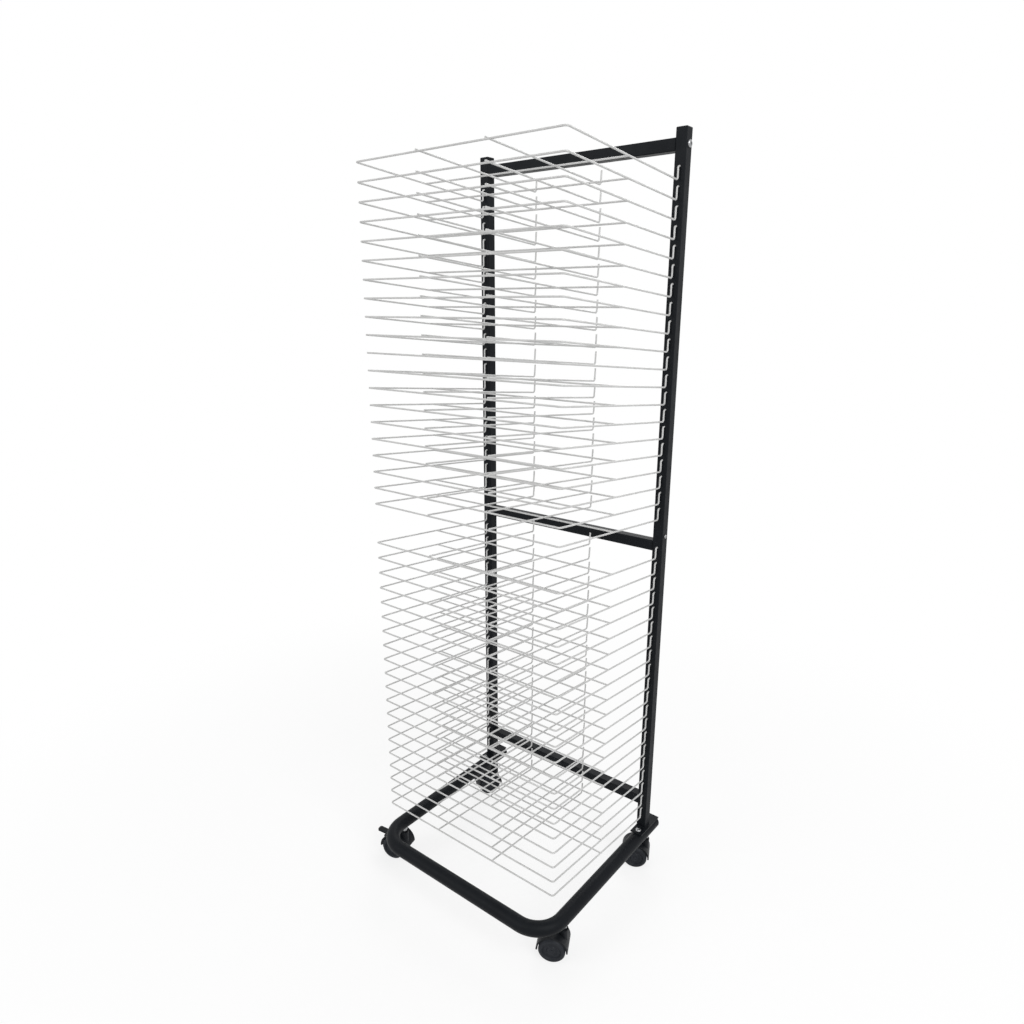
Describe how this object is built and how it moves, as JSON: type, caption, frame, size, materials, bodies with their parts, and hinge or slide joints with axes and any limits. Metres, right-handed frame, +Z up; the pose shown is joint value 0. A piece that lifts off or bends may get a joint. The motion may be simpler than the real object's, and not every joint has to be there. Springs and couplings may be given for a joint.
{
  "type": "art drying rack",
  "caption": "Mobile drying rack: a C-shaped tube frame on swivel casters with two banks of hinged wire shelves hooked into its uprights.",
  "frame": {"origin": "on the floor, at mid-width and mid-depth of the U-shaped base", "axes": "+Z up, -Y towards the open front where sheets go in, +X to the right as seen from the front"},
  "size_m": [0.5032, 0.413, 1.42],
  "materials": {
    "black_steel": "black powder coat, satin",
    "white_wire": "white powder-coated steel wire, satin",
    "zinc_steel": "bright zinc plating",
    "black_cap_plastic": "black moulded polyethylene, matte",
    "caster_plastic": "black moulded nylon, semi-gloss",
    "wheel_plastic": "black moulded nylon wheel, semi-gloss",
    "lever_plastic": "black moulded nylon, semi-gloss"
  },
  "bodies": {
    "frame": {"base_tube": "black_steel", "left_upright": "black_steel", "right_upright": "black_steel", "upright_sleeves": "zinc_steel", "top_crossbar": "black_steel", "middle_crossbar": "black_steel", "lower_crossbar": "black_steel", "tube_caps": "black_cap_plastic", "frame_bolts": "zinc_steel", "caster_stems": "zinc_steel"},
    "front_left_caster": {"front_left_caster_housing": "caster_plastic"},
    "front_left_wheels": {"front_left_caster_wheels": "wheel_plastic"},
    "front_left_brake": {"front_left_brake_lever": "lever_plastic"},
    "front_right_caster": {"front_right_caster_housing": "caster_plastic"},
    "front_right_wheels": {"front_right_caster_wheels": "wheel_plastic"},
    "rear_left_caster": {"rear_left_caster_housing": "caster_plastic"},
    "rear_left_wheels": {"rear_left_caster_wheels": "wheel_plastic"},
    "rear_left_brake": {"rear_left_brake_lever": "lever_plastic"},
    "rear_right_caster": {"rear_right_caster_housing": "caster_plastic"},
    "rear_right_wheels": {"rear_right_caster_wheels": "wheel_plastic"},
    "shelf_01": {"shelf_01": "white_wire"},
    "shelf_02": {"shelf_02": "white_wire"},
    "shelf_03": {"shelf_03": "white_wire"},
    "shelf_04": {"shelf_04": "white_wire"},
    "shelf_05": {"shelf_05": "white_wire"},
    "shelf_06": {"shelf_06": "white_wire"},
    "shelf_07": {"shelf_07": "white_wire"},
    "shelf_08": {"shelf_08": "white_wire"},
    "shelf_09": {"shelf_09": "white_wire"},
    "shelf_10": {"shelf_10": "white_wire"},
    "shelf_11": {"shelf_11": "white_wire"},
    "shelf_12": {"shelf_12": "white_wire"},
    "shelf_13": {"shelf_13": "white_wire"},
    "shelf_14": {"shelf_14": "white_wire"},
    "shelf_15": {"shelf_15": "white_wire"},
    "shelf_16": {"shelf_16": "white_wire"},
    "shelf_17": {"shelf_17": "white_wire"},
    "shelf_18": {"shelf_18": "white_wire"},
    "shelf_19": {"shelf_19": "white_wire"},
    "shelf_20": {"shelf_20": "white_wire"},
    "shelf_21": {"shelf_21": "white_wire"},
    "shelf_22": {"shelf_22": "white_wire"},
    "shelf_23": {"shelf_23": "white_wire"},
    "shelf_24": {"shelf_24": "white_wire"},
    "shelf_25": {"shelf_25": "white_wire"},
    "shelf_26": {"shelf_26": "white_wire"},
    "shelf_27": {"shelf_27": "white_wire"},
    "shelf_28": {"shelf_28": "white_wire"},
    "shelf_29": {"shelf_29": "white_wire"},
    "shelf_30": {"shelf_30": "white_wire"},
    "shelf_31": {"shelf_31": "white_wire"},
    "shelf_32": {"shelf_32": "white_wire"},
    "shelf_33": {"shelf_33": "white_wire"},
    "shelf_34": {"shelf_34": "white_wire"},
    "shelf_35": {"shelf_35": "white_wire"},
    "shelf_36": {"shelf_36": "white_wire"},
    "shelf_37": {"shelf_37": "white_wire"},
    "shelf_38": {"shelf_38": "white_wire"},
    "shelf_39": {"shelf_39": "white_wire"},
    "shelf_40": {"shelf_40": "white_wire"}
  },
  "joints": [
    {"name": "front_left_swivel", "type": "hinge", "parent": "frame", "child": "front_left_caster", "pos_m": [-0.209, -0.13, 0.05], "axis": [0, 0, 1], "continuous": true},
    {"name": "front_left_roll", "type": "hinge", "parent": "front_left_caster", "child": "front_left_wheels", "pos_m": [-0.22751, -0.13427, 0.025], "axis": [0.225, -0.9744, 0], "continuous": true},
    {"name": "front_left_brake_press", "type": "hinge", "parent": "front_left_caster", "child": "front_left_brake", "pos_m": [-0.24978, -0.13942, 0.04285], "axis": [0.225, -0.9744, 0], "range_deg": [0, 25]},
    {"name": "front_right_swivel", "type": "hinge", "parent": "frame", "child": "front_right_caster", "pos_m": [0.209, -0.13, 0.05], "axis": [0, 0, 1], "continuous": true},
    {"name": "front_right_roll", "type": "hinge", "parent": "front_right_caster", "child": "front_right_wheels", "pos_m": [0.19207, -0.13863, 0.025], "axis": [0.454, -0.891, 0], "continuous": true},
    {"name": "rear_left_swivel", "type": "hinge", "parent": "frame", "child": "rear_left_caster", "pos_m": [-0.209, 0.174, 0.05], "axis": [0, 0, 1], "continuous": true},
    {"name": "rear_left_roll", "type": "hinge", "parent": "rear_left_caster", "child": "rear_left_wheels", "pos_m": [-0.2185, 0.15755, 0.025], "axis": [0.866, -0.5, 0], "continuous": true},
    {"name": "rear_left_brake_press", "type": "hinge", "parent": "rear_left_caster", "child": "rear_left_brake", "pos_m": [-0.22993, 0.13775, 0.04285], "axis": [0.866, -0.5, 0], "range_deg": [0, 25]},
    {"name": "rear_right_swivel", "type": "hinge", "parent": "frame", "child": "rear_right_caster", "pos_m": [0.209, 0.174, 0.05], "axis": [0, 0, 1], "continuous": true},
    {"name": "rear_right_roll", "type": "hinge", "parent": "rear_right_caster", "child": "rear_right_wheels", "pos_m": [0.19178, 0.16597, 0.025], "axis": [0.4226, -0.9063, 0], "continuous": true},
    {"name": "shelf_01_lift", "type": "hinge", "parent": "frame", "child": "shelf_01", "pos_m": [0, 0.1546, 1.362], "axis": [-1, 0, 0], "range_deg": [0, 40]},
    {"name": "shelf_02_lift", "type": "hinge", "parent": "frame", "child": "shelf_02", "pos_m": [0, 0.1546, 1.332], "axis": [-1, 0, 0], "range_deg": [0, 4.2]},
    {"name": "shelf_03_lift", "type": "hinge", "parent": "frame", "child": "shelf_03", "pos_m": [0, 0.1546, 1.302], "axis": [-1, 0, 0], "range_deg": [0, 4.2]},
    {"name": "shelf_04_lift", "type": "hinge", "parent": "frame", "child": "shelf_04", "pos_m": [0, 0.1546, 1.272], "axis": [-1, 0, 0], "range_deg": [0, 4.2]},
    {"name": "shelf_05_lift", "type": "hinge", "parent": "frame", "child": "shelf_05", "pos_m": [0, 0.1546, 1.242], "axis": [-1, 0, 0], "range_deg": [0, 4.2]},
    {"name": "shelf_06_lift", "type": "hinge", "parent": "frame", "child": "shelf_06", "pos_m": [0, 0.1546, 1.212], "axis": [-1, 0, 0], "range_deg": [0, 4.2]},
    {"name": "shelf_07_lift", "type": "hinge", "parent": "frame", "child": "shelf_07", "pos_m": [0, 0.1546, 1.182], "axis": [-1, 0, 0], "range_deg": [0, 4.2]},
    {"name": "shelf_08_lift", "type": "hinge", "parent": "frame", "child": "shelf_08", "pos_m": [0, 0.1546, 1.152], "axis": [-1, 0, 0], "range_deg": [0, 4.2]},
    {"name": "shelf_09_lift", "type": "hinge", "parent": "frame", "child": "shelf_09", "pos_m": [0, 0.1546, 1.122], "axis": [-1, 0, 0], "range_deg": [0, 4.2]},
    {"name": "shelf_10_lift", "type": "hinge", "parent": "frame", "child": "shelf_10", "pos_m": [0, 0.1546, 1.092], "axis": [-1, 0, 0], "range_deg": [0, 4.2]},
    {"name": "shelf_11_lift", "type": "hinge", "parent": "frame", "child": "shelf_11", "pos_m": [0, 0.1546, 1.062], "axis": [-1, 0, 0], "range_deg": [0, 4.2]},
    {"name": "shelf_12_lift", "type": "hinge", "parent": "frame", "child": "shelf_12", "pos_m": [0, 0.1546, 1.032], "axis": [-1, 0, 0], "range_deg": [0, 4.2]},
    {"name": "shelf_13_lift", "type": "hinge", "parent": "frame", "child": "shelf_13", "pos_m": [0, 0.1546, 1.002], "axis": [-1, 0, 0], "range_deg": [0, 4.2]},
    {"name": "shelf_14_lift", "type": "hinge", "parent": "frame", "child": "shelf_14", "pos_m": [0, 0.1546, 0.972], "axis": [-1, 0, 0], "range_deg": [0, 4.2]},
    {"name": "shelf_15_lift", "type": "hinge", "parent": "frame", "child": "shelf_15", "pos_m": [0, 0.1546, 0.942], "axis": [-1, 0, 0], "range_deg": [0, 4.2]},
    {"name": "shelf_16_lift", "type": "hinge", "parent": "frame", "child": "shelf_16", "pos_m": [0, 0.1546, 0.912], "axis": [-1, 0, 0], "range_deg": [0, 4.2]},
    {"name": "shelf_17_lift", "type": "hinge", "parent": "frame", "child": "shelf_17", "pos_m": [0, 0.1546, 0.882], "axis": [-1, 0, 0], "range_deg": [0, 4.2]},
    {"name": "shelf_18_lift", "type": "hinge", "parent": "frame", "child": "shelf_18", "pos_m": [0, 0.1546, 0.852], "axis": [-1, 0, 0], "range_deg": [0, 4.2]},
    {"name": "shelf_19_lift", "type": "hinge", "parent": "frame", "child": "shelf_19", "pos_m": [0, 0.1546, 0.822], "axis": [-1, 0, 0], "range_deg": [0, 4.2]},
    {"name": "shelf_20_lift", "type": "hinge", "parent": "frame", "child": "shelf_20", "pos_m": [0, 0.1546, 0.792], "axis": [-1, 0, 0], "range_deg": [0, 4.2]},
    {"name": "shelf_21_lift", "type": "hinge", "parent": "frame", "child": "shelf_21", "pos_m": [0, 0.1546, 0.717], "axis": [-1, 0, 0], "range_deg": [0, 12.6]},
    {"name": "shelf_22_lift", "type": "hinge", "parent": "frame", "child": "shelf_22", "pos_m": [0, 0.1546, 0.687], "axis": [-1, 0, 0], "range_deg": [0, 4.2]},
    {"name": "shelf_23_lift", "type": "hinge", "parent": "frame", "child": "shelf_23", "pos_m": [0, 0.1546, 0.657], "axis": [-1, 0, 0], "range_deg": [0, 4.2]},
    {"name": "shelf_24_lift", "type": "hinge", "parent": "frame", "child": "shelf_24", "pos_m": [0, 0.1546, 0.627], "axis": [-1, 0, 0], "range_deg": [0, 4.2]},
    {"name": "shelf_25_lift", "type": "hinge", "parent": "frame", "child": "shelf_25", "pos_m": [0, 0.1546, 0.597], "axis": [-1, 0, 0], "range_deg": [0, 4.2]},
    {"name": "shelf_26_lift", "type": "hinge", "parent": "frame", "child": "shelf_26", "pos_m": [0, 0.1546, 0.567], "axis": [-1, 0, 0], "range_deg": [0, 4.2]},
    {"name": "shelf_27_lift", "type": "hinge", "parent": "frame", "child": "shelf_27", "pos_m": [0, 0.1546, 0.537], "axis": [-1, 0, 0], "range_deg": [0, 4.2]},
    {"name": "shelf_28_lift", "type": "hinge", "parent": "frame", "child": "shelf_28", "pos_m": [0, 0.1546, 0.507], "axis": [-1, 0, 0], "range_deg": [0, 4.2]},
    {"name": "shelf_29_lift", "type": "hinge", "parent": "frame", "child": "shelf_29", "pos_m": [0, 0.1546, 0.477], "axis": [-1, 0, 0], "range_deg": [0, 4.2]},
    {"name": "shelf_30_lift", "type": "hinge", "parent": "frame", "child": "shelf_30", "pos_m": [0, 0.1546, 0.447], "axis": [-1, 0, 0], "range_deg": [0, 4.2]},
    {"name": "shelf_31_lift", "type": "hinge", "parent": "frame", "child": "shelf_31", "pos_m": [0, 0.1546, 0.417], "axis": [-1, 0, 0], "range_deg": [0, 4.2]},
    {"name": "shelf_32_lift", "type": "hinge", "parent": "frame", "child": "shelf_32", "pos_m": [0, 0.1546, 0.387], "axis": [-1, 0, 0], "range_deg": [0, 4.2]},
    {"name": "shelf_33_lift", "type": "hinge", "parent": "frame", "child": "shelf_33", "pos_m": [0, 0.1546, 0.357], "axis": [-1, 0, 0], "range_deg": [0, 4.2]},
    {"name": "shelf_34_lift", "type": "hinge", "parent": "frame", "child": "shelf_34", "pos_m": [0, 0.1546, 0.327], "axis": [-1, 0, 0], "range_deg": [0, 4.2]},
    {"name": "shelf_35_lift", "type": "hinge", "parent": "frame", "child": "shelf_35", "pos_m": [0, 0.1546, 0.297], "axis": [-1, 0, 0], "range_deg": [0, 4.2]},
    {"name": "shelf_36_lift", "type": "hinge", "parent": "frame", "child": "shelf_36", "pos_m": [0, 0.1546, 0.267], "axis": [-1, 0, 0], "range_deg": [0, 4.2]},
    {"name": "shelf_37_lift", "type": "hinge", "parent": "frame", "child": "shelf_37", "pos_m": [0, 0.1546, 0.237], "axis": [-1, 0, 0], "range_deg": [0, 4.2]},
    {"name": "shelf_38_lift", "type": "hinge", "parent": "frame", "child": "shelf_38", "pos_m": [0, 0.1546, 0.207], "axis": [-1, 0, 0], "range_deg": [0, 4.2]},
    {"name": "shelf_39_lift", "type": "hinge", "parent": "frame", "child": "shelf_39", "pos_m": [0, 0.1546, 0.177], "axis": [-1, 0, 0], "range_deg": [0, 4.2]},
    {"name": "shelf_40_lift", "type": "hinge", "parent": "frame", "child": "shelf_40", "pos_m": [0, 0.1546, 0.147], "axis": [-1, 0, 0], "range_deg": [0, 4.2]}
  ]
}
